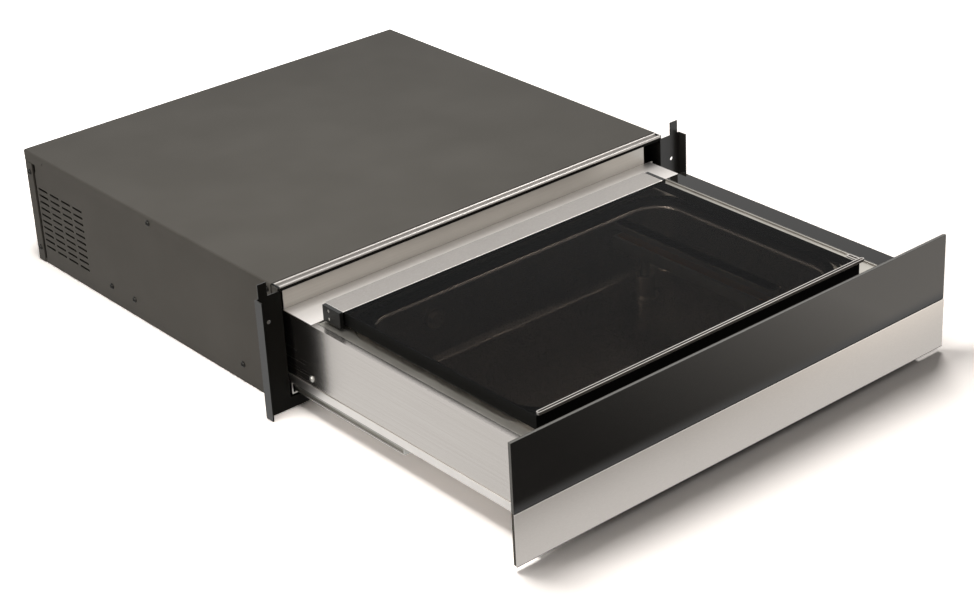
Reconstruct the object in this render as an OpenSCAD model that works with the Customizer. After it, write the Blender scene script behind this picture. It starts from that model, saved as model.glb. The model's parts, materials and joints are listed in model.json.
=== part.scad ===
// Built-in vacuum sealing drawer, shown pulled out with its lid closed.
// Origin: middle of the casing's underside, in the plane of the cabinet's front edges.
// X runs along the front, Y into the cabinet, Z up. Sizes are in millimetres.

/* [Front panel] */
// How far the front panel stands past the casing on each side
front_over = 28; // [27:0.5:40]
// Height of the front panel
front_h = 131; // [128:1:150]
// Height of the front panel's lower edge over the casing's underside
front_z = 5.5; // [3:0.5:10]
// Depth of the front's face, from the steel strip to the carrier
face_t = 3.8; // [3:0.1:6]
// Thickness of the sheet steel carrier behind them
carrier_t = 1.2; // [1:0.1:2]
// Height of the stainless strip along the bottom
strip_h = 56.5; // [30:0.5:70]
// Thickness of the steel strip's sheet
strip_sheet_t = 1.2; // [0.8:0.1:2]
// How far the strip stands in front of the glass
strip_proud = 0.8; // [0:0.1:1]
// Joint between the glass and the strip
face_joint = 0.4; // [0.2:0.1:1]
// Gap between the closed front and the cabinet brackets
close_gap = 1.5; // [0.5:0.1:4]

/* [Casing] */
// Width over the top cover
casing_w = 540; // [538:1:560]
// Height over the top cover
casing_h = 141; // [140:1:160]
// Depth from the cabinet's front edges to the back panel
casing_d = 504; // [490:1:540]
// Thickness of every casing sheet
sheet_t = 1; // [0.8:0.1:1.2]
// Height of the top cover's side flange
cover_flange_h = 13.5; // [10:0.5:18]
// Depth of the back panel's wrapped flange
back_flange_d = 13.5; // [10:0.5:18]
// Bend radius on the outside of the top cover
bend_r = 2.2; // [1.5:0.1:4]
// Height of the sill under the drawer
sill_h = 12.5; // [8:0.5:14]
// Height of the header's lip under the trim
header_lip_h = 3.4; // [2:0.1:4]

/* [Vents] */
// Columns of vent slots on each side
vent_cols = 4; // [2:1:6]
// Rows of vent slots on each side
vent_rows = 10; // [4:1:10]
// Length of one vent slot
slot_l = 20.4; // [12:0.2:22]
// Height of one vent slot
slot_h = 2.6; // [2:0.1:4]
// Spacing of the vent columns
vent_pitch_y = 25.2; // [24:0.2:30]
// Spacing of the vent rows
vent_pitch_z = 8.2; // [6:0.1:9]
// Height of the lowest vent row
vent_z = 23.5; // [18:0.5:30]

/* [Cabinet brackets] */
// How far the bracket plates stand past the casing on each side
bracket_out = 27.5; // [25:0.5:39]
// Gap from the bracket plates' top edge up to the trim
bracket_drop = 2.3; // [1:0.1:6]
// Thickness of the bracket steel
bracket_t = 1.5; // [1.2:0.1:2.5]
// Depth of the flange that stands forward
bracket_flange_d = 10.5; // [6:0.5:16]
// Width of the locating tab
tab_w = 11; // [8:0.5:16]
// Height of the locating tab
tab_h = 15.5; // [8:0.5:20]
// Distance of the tab from the bracket's outer face
tab_in = 4; // [2:0.5:8]
// Distance of the cabinet screw holes from the casing's side
mount_out = 14; // [8:0.5:18]
// Height of the cabinet screw holes
mount_z = 107; // [90:0.5:120]
// Radius of the cabinet screw holes
mount_r = 2.25; // [1.8:0.05:3]

/* [Drawer] */
// How far the drawer travels
travel = 377; // [340:1:385]
// Distance from the casing's outside to the drawer's side panel
runner_room = 8.5; // [8:0.5:12]
// Thickness of the stainless sheets
steel_t = 1; // [0.8:0.1:1.2]
// Underside of the drawer over the casing's underside
drawer_z = 28; // [27:0.5:32]
// Height of the light lip along the lower edge
lip_h = 9.5; // [6:0.5:14]
// Gap from the pump bay's cover up to the header
header_room = 4.4; // [3:0.1:8]
// Height of the upstand behind the rear deck
upstand_h = 21; // [16:0.5:26]
// Depth of the pump bay
bay_d = 115; // [112:1:118]
// Width of the rear deck from the bay to the hinge
deck_d = 48; // [44:1:54]
// Width of the touch control strip
panel_w = 25.5; // [20:0.5:26]

/* [Chamber] */
// Distance of the chamber's mouth from the drawer's left side
tub_left_in = 39.5; // [36:0.5:60]
// Distance of the chamber's mouth from the drawer's right side
tub_right_in = 73.5; // [72:0.5:90]
// Distance of the chamber's mouth from the rear deck
tub_back_in = 36; // [35:1:42]
// Distance of the chamber's mouth from the front panel's back
tub_front_in = 48.5; // [45:0.5:70]
// Corner radius of the mouth
tub_r = 32; // [28:1:44]
// Gap from the drawer's base up to the chamber's floor
tub_room = 5; // [3:0.5:24]
// Radius between the chamber's walls and floor
tub_floor_r = 11; // [6:1:14]
// Taper of the chamber's walls, mouth to floor
tub_draft = 4; // [2:0.5:6]
// Width of the seal seat round the mouth
seat_w = 20; // [18:0.5:22]
// Drop of the seal seat below the flange
seat_drop = 3.5; // [2:0.5:4]
// Thickness of the drawn sheet
tub_t = 1.2; // [0.8:0.1:1.5]

/* [Lid] */
// Distance of the glass from the drawer's left side
lid_left_in = 21.5; // [18:0.5:26]
// Distance of the glass from the drawer's right side
lid_right_in = 61.5; // [59:0.5:64]
// Distance of the glass from the front panel's back
lid_front_in = 27.5; // [22:0.5:30]
// Thickness of the toughened glass
glass_t = 15; // [12:0.5:16]
// Gap from the flange up to the glass
lid_gap = 4; // [3.5:0.5:6]
// Depth of the stainless hinge cover
hinge_cover_d = 31; // [26:0.5:36]
// Radius of the hinge shaft
hinge_r = 3; // [2.5:0.1:4]
// Width of the seal
seal_w = 8; // [6:0.5:10]

/* [Sealing bar] */
// Distance of the sealing bar's middle from the chamber's right edge
bar_in = 74; // [68:1:88]
// Width of the sealing bar
bar_w = 20; // [16:0.5:24]
// Height of the sealing bar
bar_h = 14; // [10:0.5:16]
// Lift of the sealing bar
bar_lift = 5; // [3:0.5:6]
// Radius of the two lifting rods
rod_r = 5; // [4:0.5:6]

/* [Runners] */
// Length of the outer rail
rail_l = 385.5; // [380:0.5:460]
// Height of the outer rail
rail_h = 13; // [12:0.5:14]
// Depth of the outer rail, side to side
rail_w = 12.5; // [11:0.5:13]
// Height of the outer rail's lower edge
rail_z = 14.7; // [14:0.1:15]
// Wall of the rails
rail_t = 1.4; // [1:0.1:1.6]
// Gap between one rail and the next
rail_gap = 0.4; // [0.3:0.05:0.5]

/* [Pump bay] */
// Gap from the pump motor up to the bay's cover
motor_room = 9; // [6:0.5:20]
// Length of the pump motor
motor_l = 116; // [90:1:120]
// Length of the pump head
pump_l = 86; // [70:1:90]
// Outer radius of the vacuum hose
hose_r = 6; // [5:0.5:7]
// Bend radius of the vacuum hose
hose_bend = 20; // [16:1:22]
// Side of the cooling fan's frame
fan_s = 80; // [60:1:84]
// Number of fan blades
fan_blades = 7; // [5:1:9]

/* [Hidden] */
$fn = 48;

// Colours of the finishes
charcoal = "#4c4944";
deep_black = "#1c1c1a";
stainless = "#c2bdb7";
pale_steel = "#d8d3cd";
zinc = "#b9bab8";

// Casing, worked out
half_casing = casing_w / 2;
front_w = casing_w + 2 * front_over;
bracket_span = casing_w + 2 * bracket_out;
mount_x = half_casing + mount_out;
side_out = half_casing - sheet_t;
side_in = side_out - sheet_t;
wall_top_z = casing_h - sheet_t;
seam_y = casing_d - back_flange_d;
seam_gap_w = 3.6;
seam_notch_w = 5.6;
seam_notch_h = 10;
seam_z0 = 5;
trim_h = 2.2;
header_top_z = casing_h - trim_h;
header_z = header_top_z - header_lip_h;
trim_half = half_casing - 3;
bracket_h = header_top_z - bracket_drop;
trim_d = 12;
sheet_gap = 0.3;
cover_y = trim_d - bracket_t + sheet_gap;
seam_top_z = casing_h - cover_flange_h - 2 * sheet_gap;
bend_z = casing_h - bend_r;
cut = 4;
bracket_in = side_in - bracket_t;
leg_d = 24;
sill_leg_d = 10;
header_leg_d = 16;
side_flange_w = 12;

// Drawer, worked out
front_t = face_t + carrier_t;
front_y = -(bracket_t + bracket_flange_d + close_gap + front_t + travel);
carrier_back_y = front_y + front_t;
half_drawer = half_casing - runner_room;
side_z = drawer_z + steel_t;
bay_top_z = header_z - header_room;
deck_z = bay_top_z - upstand_h;
bay_y0 = 6;
bay_y1 = bay_y0 + bay_d;
deck_y0 = bay_y0 - deck_d;
panel_x0 = half_drawer - panel_w;
panel_glass_t = 4;
right_top_z = deck_z - 6;
flange_z = deck_z - 1.5;
seat_z = flange_z - seat_drop;
floor_z = side_z + tub_room;
tub_depth = seat_z - floor_z;
side_lip_w = 6.9;
side_room = side_lip_w + sheet_gap;
flange_x0 = -half_drawer + 7.5;
flange_x1 = panel_x0 - 0.8;
flange_y0 = carrier_back_y + 13.5;
flange_y1 = deck_y0 - 0.8;

// Chamber, worked out
tub_x0 = -half_drawer + tub_left_in;
tub_x1 = half_drawer - tub_right_in;
tub_y0 = carrier_back_y + tub_front_in;
tub_y1 = deck_y0 - tub_back_in;
tub_lip_r = 3;

// Lid and hinge, worked out
lid_x0 = -half_drawer + lid_left_in;
lid_x1 = half_drawer - lid_right_in;
lid_y0 = carrier_back_y + lid_front_in;
glass_z = flange_z + lid_gap;
lid_top_z = glass_z + glass_t;
lid_y1 = deck_y0 + 1;
glass_y1 = lid_y1 - 19;
axis_y = lid_y1 - 8;
axis_z = glass_z + 5.5;
cover_sheet_t = 1;
cover_over = 1.5;
shaft_fit = 0.02;
shaft_run = 0.06;
bracket_x = [lid_x0 + 18, lid_x1 - 18];
bracket_w = 10;
hinge_side_gap = 0.6;
seal_in = (seat_w - seal_w) / 2 - 3;
soft_gap = 0.3;

// Sealing bar, worked out
bar_x = tub_x1 - bar_in;
bar_y0 = tub_y0 + 14;
bar_y1 = tub_y1 - 16;
press_h = 9;
press_w = 16;
bar_top_z = glass_z - press_h - soft_gap - bar_lift;
bar_z = bar_top_z - bar_h;
strip_t = 1;
rod_in = 40;
rod_y = [bar_y0 + rod_in, bar_y1 - rod_in];
cyl_r = rod_r + 6;
cyl_top_z = floor_z + 28;
cyl_floor_gap = 12;

// Runners, worked out
rail_out = side_in - 4.6;
rail_in = rail_out - rail_w;
rail_y0 = -0.5;
rail_y1 = rail_y0 + rail_l;
mid_x1 = rail_out - rail_t - rail_gap - 1.9;
mid_x0 = rail_in + 0.5;
mid_z0 = rail_z + rail_t + rail_gap + 1;
mid_z1 = rail_z + rail_h - rail_t - rail_gap - 1;
mid_l = rail_l - 14;
mid_y0 = 4.5 - travel / 2;
groove = 2.6;
inner_x1 = mid_x0 + groove - rail_gap;
inner_z0 = mid_z0 + rail_t + rail_gap;
inner_z1 = mid_z1 - rail_t - rail_gap;
inner_web_x = rail_in - 3.5;
inner_y1 = rail_y1 - travel - 3;

// Screws and holes
screw_r = 2;
screw_fit = 0.1;
screw_head_r = 3.6;
screw_head_h = 2.4;
screw_l = 7;
short_screw_l = 3.4;
cover_screw_z = casing_h - 8;
rib_h = 2;
gland_x = half_casing - 70;
gland_z = 15.5;
gland_r = 9;
gland_fit = 0.1;
cord_r = 4;
vent_margin = 6.9;
locating_y = 465;
locating_r = 1;
rail_screw_z = rail_z + rail_h / 2;
rail_screw_y = [79.5, 292, 339.5];
cover_screw_y = [18, 240.5];
back_screw_y = casing_d - 7;
back_screw_z = [17.5, 114.5];
side_screw_y = -36;
side_screw_z = 46;

// Latch
latch_y = 300;
latch_l = 44;
latch_w = 40;
latch_top_z = drawer_z - 1;
latch_z = 20.5;
plunger_r = 4;
plunger_fit = 0.15;
plunger_out = 12;
plunger_l = 41;
striker_y = latch_y - plunger_out - soft_gap - travel;
striker_z = 15;
striker_t = 2;

// Pump bay, worked out
board_t = 1.6;
motor_x0 = 3 - (motor_l + pump_l) / 2;
motor_y = bay_y0 + 66;
cradle_z = drawer_z + steel_t + 9;
cradle_t = 2;
foot_h = 1;
motor_r = (bay_top_z - steel_t - motor_room - cradle_z - cradle_t - foot_h) / 2;
motor_z = cradle_z + cradle_t + foot_h + motor_r;
pump_x0 = motor_x0 + motor_l;
pump_x1 = pump_x0 + pump_l;
pump_y0 = bay_y0 + 30;
pump_y1 = bay_y0 + 102;
pump_top_z = motor_z + 38;
port_z = seat_z - 23;
port_x = [tub_x0 + 86, tub_x1 - 38];
port_r = 5;
port_cap_r = 11;
wall_y = tub_y1 - tub_draft * (seat_z - tub_lip_r - port_z + port_cap_r)
    / (tub_depth - tub_lip_r - tub_floor_r);
barb_y = tub_y1 + 18;
hose_y = bay_y0 + 10;
hose_bore = 3.5;
inlet_x = pump_x0 + 55;
valve_y = bay_y0 + 30;
silencer_y = pump_y1 - 14;
fan_x = -half_drawer + steel_t + 2;
fan_t = 25;
fan_y = bay_y0 + 58;
fan_z = side_z + 4 + fan_s / 2;
fan_bore = fan_s / 2 - 3;
fan_tip = fan_bore - 1;
fan_hub_r = 15;
fan_pin_r = 2;

module span(x0, x1, y0, y1, z0, z1) {
    translate([x0, y0, z0]) cube([x1 - x0, y1 - y0, z1 - z0]);
}

module along_x(x, y, z, r, l) {
    translate([x, y, z]) rotate([0, 90, 0]) cylinder(r = r, h = l);
}

module along_y(x, y, z, r, l) {
    translate([x, y, z]) rotate([-90, 0, 0]) cylinder(r = r, h = l);
}

module tube_y(x, y, z, r, bore, l) {
    difference() {
        along_y(x, y, z, r, l);
        along_y(x, y - 1, z, bore, l + 2);
    }
}

// Rectangle with round corners, made of squares and circles
module round_rect(x0, x1, y0, y1, r) {
    translate([x0 + r, y0]) square([x1 - x0 - 2 * r, y1 - y0]);
    translate([x0, y0 + r]) square([x1 - x0, y1 - y0 - 2 * r]);
    for (x = [x0 + r, x1 - r], y = [y0 + r, y1 - r]) translate([x, y]) circle(r = r);
}

// Sweeps an outline round a rectangle with round corners.
// The outline's x is the distance outward from the rectangle and its y is the height.
module swept_ring(x0, x1, y0, y1, r) {
    wide = x1 - x0 - 2 * r;
    deep = y1 - y0 - 2 * r;
    for (c = [[x1 - r, y1 - r, 0, deep], [x0 + r, y1 - r, 90, wide],
              [x0 + r, y0 + r, 180, deep], [x1 - r, y0 + r, 270, wide]])
        translate([c[0], c[1], 0]) rotate(c[2]) {
            rotate_extrude(angle = 90) translate([r, 0]) children();
            rotate([90, 0, 0]) linear_extrude(c[3]) translate([r, 0]) children();
        }
}

function arc(cx, cy, r, a0, a1, n = 6) =
    [for (i = [0:n]) [cx + r * cos(a0 + (a1 - a0) * i / n), cy + r * sin(a0 + (a1 - a0) * i / n)]];

// Casing

module vent_slots() {
    for (c = [0:vent_cols - 1], r = [0:vent_rows - 1]) {
        y = seam_y - vent_margin - slot_l - c * vent_pitch_y;
        z = vent_z + r * vent_pitch_z;
        translate([y + slot_h / 2, z - slot_h / 2]) square([slot_l - slot_h, slot_h]);
        for (e = [slot_h / 2, slot_l - slot_h / 2]) translate([y + e, z]) circle(r = slot_h / 2, $fn = 16);
    }
}

// Left side sheet: a wall with vent slots, a gap before the back panel and a bottom flange
module casing_side(x_sign) {
    mirror([x_sign > 0 ? 1 : 0, 0, 0]) color(charcoal) difference() {
        union() {
            span(-side_out, -side_in, 0, casing_d - sheet_t, 0, bend_z);
            span(-side_in, -side_in + side_flange_w, sill_leg_d, casing_d - sheet_t, 0, sheet_t);
        }
        translate([-side_out - 1, 0, 0]) rotate([90, 0, 90]) linear_extrude(sheet_t + 2) vent_slots();
        span(-side_out - 1, -side_in + 1, seam_y - seam_gap_w, seam_y, seam_z0, seam_top_z);
        span(-side_out - 1, -side_in + 1, seam_y - seam_notch_w, seam_y,
            seam_top_z - seam_notch_h, seam_top_z);
        side_screw_holes();
    }
}

module side_screw_holes() {
    hole_l = 3 * sheet_t + 2;
    for (y = rail_screw_y) along_x(-side_out - 1, y, rail_screw_z, screw_r + screw_fit, hole_l);
    for (y = cover_screw_y) along_x(-side_out - 1, y, cover_screw_z, screw_r + screw_fit, hole_l);
    for (z = back_screw_z) along_x(-side_out - 1, back_screw_y, z, screw_r + screw_fit, hole_l);
}

module casing_floor() {
    rib_pitch = 150;
    rib_w = 8;
    rib_front = 60;
    rib_back = 39;
    color(charcoal) {
        span(-side_in, side_in, sill_leg_d, casing_d - sheet_t, sheet_t, 2 * sheet_t);
        for (i = [-1:1]) translate([i * rib_pitch, 0, 0])
            span(-rib_w / 2, rib_w / 2, rib_front, casing_d - sheet_t - rib_back,
                2 * sheet_t, 2 * sheet_t + rib_h);
    }
}

// Folded cover with round bends, extruded along its depth
module cover_outline(w, h, r) {
    translate([-w / 2 + r, -r]) square([w - 2 * r, r]);
    translate([-w / 2, -h]) square([w, h - r]);
    for (s = [-1, 1]) translate([s * (w / 2 - r), -r]) circle(r = r);
}

module top_cover() {
    color(charcoal) difference() {
        translate([0, casing_d, casing_h]) rotate([90, 0, 0]) linear_extrude(casing_d - cover_y)
            difference() {
                cover_outline(casing_w, cover_flange_h, bend_r);
                translate([0, -sheet_t])
                    cover_outline(casing_w - 2 * sheet_t, cover_flange_h, bend_r - sheet_t);
            }
        for (s = [-1, 1]) {
            for (y = cover_screw_y)
                along_x(s * half_casing - cut, y, cover_screw_z, screw_r + screw_fit, 2 * cut);
            along_x(s * half_casing - cut, locating_y, cover_screw_z, locating_r, 2 * cut);
        }
    }
}

module back_panel() {
    color(charcoal) difference() {
        union() {
            span(-half_casing, half_casing, casing_d - sheet_t, casing_d, 0, seam_top_z);
            span(-side_in, side_in, casing_d - sheet_t, casing_d, seam_top_z - 1, bend_z);
            span(-side_in + bend_r, side_in - bend_r, casing_d - sheet_t, casing_d,
                bend_z - 1, wall_top_z);
            for (s = [0, 1]) mirror([s, 0, 0])
                span(-half_casing, -side_out, seam_y, casing_d, 0, seam_top_z);
        }
        for (s = [-1, 1], z = back_screw_z)
            along_x(s * half_casing - cut, back_screw_y, z, screw_r + screw_fit, 2 * cut);
        along_y(-gland_x, casing_d - cut, gland_z, gland_r + gland_fit, 2 * cut);
    }
}

// Folded rail across the top of the opening, under the trim
module front_header() {
    color(charcoal) {
        span(-bracket_in, bracket_in, -bracket_t, 0, header_z, header_top_z);
        span(-bracket_in, bracket_in, -bracket_t, trim_d + 2, header_top_z - sheet_t, header_top_z);
        span(-bracket_in, bracket_in, trim_d, trim_d + header_leg_d,
            header_top_z - sheet_t, wall_top_z);
    }
}

module front_sill() {
    color(deep_black) {
        span(-bracket_in, bracket_in, -bracket_t, 0, 0, sill_h);
        span(-bracket_in, bracket_in, 0, sill_leg_d - 2, sill_h - bracket_t, sill_h);
        span(-bracket_in, bracket_in, 0, sill_leg_d, 0, 2 * sheet_t);
    }
}

// Left bracket: plate on the cabinet's edge, flange forward, leg inside the casing, locating tab
module cabinet_bracket(x_sign) {
    out = bracket_span / 2;
    mirror([x_sign > 0 ? 1 : 0, 0, 0]) color(deep_black) difference() {
        union() {
            span(-out, -bracket_in, -bracket_t, 0, 0, bracket_h);
            span(-out, -out + bracket_t, -bracket_t - bracket_flange_d, 0, 0, bracket_h);
            span(-out + tab_in, -out + tab_in + tab_w, -bracket_t, 0, bracket_h, bracket_h + tab_h);
            span(-side_in, -bracket_in, 0, leg_d, 2 * sheet_t, bracket_h);
        }
        along_y(-mount_x, -bracket_t - 1, mount_z, mount_r, bracket_t + 2);
        along_x(-side_in - 1, cover_screw_y[0], cover_screw_z, screw_r + screw_fit, cut);
    }
}

// Aluminium trim: a base strip with two round ribs and a groove between them
module top_trim() {
    rib_r = 1.7;
    base_t = 0.6;
    sink = 0.5;
    base_z = header_top_z;
    color("#cfcbc6") {
        span(-trim_half, trim_half, -bracket_t, trim_d - bracket_t, base_z, base_z + base_t);
        for (y = [rib_r, trim_d - rib_r]) intersection() {
            along_x(-trim_half, y - bracket_t, base_z + sink, rib_r, 2 * trim_half);
            span(-trim_half, trim_half, -bracket_t, trim_d, base_z, casing_h);
        }
    }
}

module trim_end_caps() {
    color(deep_black) for (s = [0, 1]) mirror([s, 0, 0])
        span(-side_in, -trim_half, -bracket_t, trim_d - bracket_t, header_top_z, casing_h);
}

// Outer rail: a C profile with lips, open towards the drawer, on pads against the casing's side
module outer_rail(x_sign) {
    pad_w = 18;
    mirror([x_sign > 0 ? 1 : 0, 0, 0]) color(zinc) difference() {
        union() {
            span(-rail_out, -rail_out + rail_t, rail_y0, rail_y1, rail_z, rail_z + rail_h);
            for (z = [rail_z, rail_z + rail_h - rail_t])
                span(-rail_out, -rail_in, rail_y0, rail_y1, z, z + rail_t);
            for (y = rail_screw_y)
                span(-side_in, -rail_out, y - pad_w / 2, y + pad_w / 2, rail_z, rail_z + rail_h);
        }
        for (y = rail_screw_y)
            along_x(-side_in - 1, y, rail_screw_z, screw_r + screw_fit, side_in - rail_out + rail_t + 1);
    }
}

// Domed screw with a cross recess, its head towards -X
module pan_screw(l) {
    dome = 4.2;
    recess_l = 4.2;
    recess_w = 0.9;
    recess_h = 1.3;
    rotate([0, -90, 0]) {
        difference() {
            intersection() {
                translate([0, 0, screw_head_h - dome]) sphere(r = dome, $fn = 32);
                cylinder(r = screw_head_r, h = screw_head_h, $fn = 32);
            }
            for (a = [45, 135]) rotate(a) translate([-recess_l / 2, -recess_w / 2, screw_head_h - recess_h])
                cube([recess_l, recess_w, recess_h + 1]);
        }
        translate([0, 0, -l]) cylinder(r = screw_r, h = l, $fn = 24);
    }
}

module casing_screws() {
    color(deep_black) for (s = [0, 1]) mirror([s, 0, 0]) {
        for (y = rail_screw_y) translate([-side_out, y, rail_screw_z]) pan_screw(screw_l);
        for (y = cover_screw_y) translate([-half_casing, y, cover_screw_z]) pan_screw(short_screw_l);
        for (z = back_screw_z) translate([-half_casing, back_screw_y, z]) pan_screw(short_screw_l);
    }
}

// Push latch on the casing floor
module latch_housing() {
    z0 = 2 * sheet_t + rib_h;
    ear_w = 12;
    ear_t = 3;
    ear_in = 8;
    end_t = 5;
    color(deep_black) difference() {
        union() {
            span(-latch_w / 2, latch_w / 2, latch_y, latch_y + latch_l, z0, latch_top_z);
            span(-latch_w / 2 - ear_w, latch_w / 2 + ear_w, latch_y + ear_in, latch_y + latch_l - ear_in,
                z0, z0 + ear_t);
        }
        along_y(0, latch_y - 1, latch_z, plunger_r + plunger_fit, latch_l - end_t + 1);
    }
}

module latch_plunger() {
    color("#d9d9d6") along_y(0, latch_y - plunger_out, latch_z, plunger_r, plunger_l);
}

// Cable gland for the mains cord, in the back panel
module cord_gland() {
    inside = 5;
    outside = 12;
    collar_t = 3;
    collar = 2.5;
    nut = 2;
    color(deep_black) difference() {
        union() {
            along_y(-gland_x, casing_d - sheet_t - inside, gland_z, gland_r, sheet_t + inside + outside);
            along_y(-gland_x, casing_d, gland_z, gland_r + collar, collar_t);
            along_y(-gland_x, casing_d - sheet_t - collar_t, gland_z, gland_r + nut, collar_t);
        }
        along_y(-gland_x, casing_d - inside - cut, gland_z, cord_r, inside + outside + 2 * cut);
    }
}

// Runners

// Middle rail: an H profile, with a groove to the outer rail and one to the inner rail
module mid_rail(x_sign) {
    end_t = 3;
    mirror([x_sign > 0 ? 1 : 0, 0, 0]) color(zinc) difference() {
        span(-mid_x1, -mid_x0, mid_y0, mid_y0 + mid_l, mid_z0, mid_z1);
        span(-mid_x1 - 1, -mid_x1 + groove, mid_y0 + end_t, mid_y0 + mid_l - end_t,
            mid_z0 + rail_t, mid_z1 - rail_t);
        span(-mid_x0 - groove, -mid_x0 + 1, mid_y0 - 1, mid_y0 + mid_l + 1,
            mid_z0 + rail_t, mid_z1 - rail_t);
    }
}

// Inner rail: a bar in the middle rail's groove with a web up to the drawer's underside
module inner_rail(x_sign) {
    y0 = carrier_back_y + 20;
    foot_w = 12;
    mirror([x_sign > 0 ? 1 : 0, 0, 0]) color(zinc) {
        span(-inner_x1, -inner_web_x, y0, inner_y1, inner_z0, inner_z1);
        span(-inner_web_x, -inner_web_x + rail_t, y0, inner_y1, inner_z0, drawer_z);
        span(-inner_web_x, -inner_web_x + foot_w, y0, inner_y1, drawer_z - rail_t, drawer_z);
    }
}

// Drawer

module drawer_base() {
    slots = 9;
    slot_pitch = 22;
    slot_w = 5;
    color(stainless) difference() {
        union() {
            span(-half_drawer, half_drawer, carrier_back_y, bay_y1, drawer_z, side_z);
            for (s = [0, 1]) mirror([s, 0, 0])
                span(-half_drawer - steel_t, -half_drawer, carrier_back_y, bay_y1,
                    drawer_z, drawer_z + lip_h);
        }
        for (i = [0:slots - 1]) span(motor_x0 + i * slot_pitch, motor_x0 + i * slot_pitch + slot_w,
            pump_y0 + 10, pump_y1 - 10, drawer_z - 1, side_z + 1);
    }
}

// Slots for the fan's air in both side panels
module air_slots(x, n) {
    slot_pitch = 10;
    slot_w = 3;
    for (i = [0:n - 1]) span(x - steel_t - 1, x + steel_t + 1, fan_y - fan_s / 2 + 10, fan_y + fan_s / 2 - 10,
        fan_z - 31 + i * slot_pitch, fan_z - 31 + slot_w + i * slot_pitch);
}

module drawer_side_left() {
    color(stainless) difference() {
        union() {
            span(-half_drawer, -half_drawer + steel_t, carrier_back_y, bay_y1, side_z, deck_z);
            span(-half_drawer, -half_drawer + side_lip_w, carrier_back_y, deck_y0, deck_z - steel_t, deck_z);
        }
        air_slots(-half_drawer, 7);
        along_x(-half_drawer - 1, side_screw_y, side_screw_z, screw_r + screw_fit, steel_t + 2);
    }
}

module drawer_side_right() {
    color(stainless) difference() {
        union() {
            span(half_drawer - steel_t, half_drawer, carrier_back_y, bay_y1, side_z, right_top_z);
            span(half_drawer - steel_t, half_drawer, carrier_back_y, deck_y0, side_z, deck_z - panel_glass_t);
        }
        air_slots(half_drawer, 6);
        along_x(half_drawer - steel_t - 1, side_screw_y, side_screw_z, screw_r + screw_fit, steel_t + 2);
    }
}

module drawer_screws() {
    color(zinc) for (s = [0, 1]) mirror([s, 0, 0])
        translate([-half_drawer, side_screw_y, side_screw_z]) pan_screw(short_screw_l);
}

module drawer_back() {
    color(zinc) span(-half_drawer + steel_t, half_drawer - steel_t, bay_y1 - steel_t, bay_y1,
        side_z, bay_top_z - steel_t);
}

// Wall between the chamber and the pump bay
module bulkhead() {
    wing_d = 50;
    hole_h = 20;
    hole_out = 16;
    hole_in = 10;
    color(zinc) difference() {
        union() {
            span(-half_drawer + steel_t, half_drawer - steel_t, bay_y0, bay_y0 + steel_t,
                side_z, deck_z - steel_t);
            for (x = [-half_drawer + steel_t, half_drawer - 2 * steel_t])
                span(x, x + steel_t, bay_y0 - wing_d, bay_y0, side_z, right_top_z);
        }
        for (x = port_x) span(x - hole_in, x + hole_out, bay_y0 - 1, bay_y0 + steel_t + 1,
            port_z - hole_h / 2, port_z + hole_h / 2);
        for (s = [-1, 1])
            along_x(s * half_drawer - cut, side_screw_y, side_screw_z, screw_r + screw_fit, 2 * cut);
    }
}

module front_carrier() {
    inset = 0.5;
    ret = 13;
    foot_in = 29.5;
    foot_z = front_z + 4;
    foot_d = 8;
    z1 = front_z + front_h - inset;
    half = front_w / 2 - inset;
    color("#55524b") {
        span(-half, half, front_y + face_t, carrier_back_y, front_z + inset, z1);
        span(-half, half, front_y + strip_sheet_t, front_y + face_t, front_z + inset, front_z + strip_h);
        span(-half_drawer + side_room, flange_x1, carrier_back_y, carrier_back_y + ret,
            deck_z - steel_t, deck_z);
        span(-half + foot_in, half - foot_in, carrier_back_y, carrier_back_y + foot_d,
            foot_z, foot_z + carrier_t);
    }
}

module front_glass() {
    color(deep_black) span(-front_w / 2, front_w / 2, front_y + strip_proud, front_y + face_t,
        front_z + strip_h + face_joint, front_z + front_h);
}

module front_strip() {
    color(stainless) span(-front_w / 2, front_w / 2, front_y, front_y + strip_sheet_t,
        front_z, front_z + strip_h);
}

module deck_plate() {
    right_in = 6.5;
    fold_left_in = 8;
    fold_right_in = 12;
    color(pale_steel) {
        span(-half_drawer + steel_t, half_drawer - right_in, deck_y0, bay_y0, deck_z - steel_t, deck_z);
        span(-half_drawer + fold_left_in, half_drawer - fold_right_in, deck_y0, deck_y0 + steel_t,
            flange_z, deck_z - steel_t);
    }
}

// Cover of the pump bay: its front is the upstand behind the deck
module bay_cover() {
    left_in = 2;
    right_in = 14.5;
    side_back = 3;
    x0 = -half_drawer + left_in;
    x1 = half_drawer - right_in;
    color(stainless) {
        span(x0, x1, bay_y0, bay_y1, bay_top_z - steel_t, bay_top_z);
        span(x0, x1, bay_y0, bay_y0 + steel_t, deck_z - steel_t, bay_top_z);
        for (x = [x0, x1 - steel_t]) span(x, x + steel_t, bay_y0, bay_y1 - side_back,
            deck_z, bay_top_z);
    }
}

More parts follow.
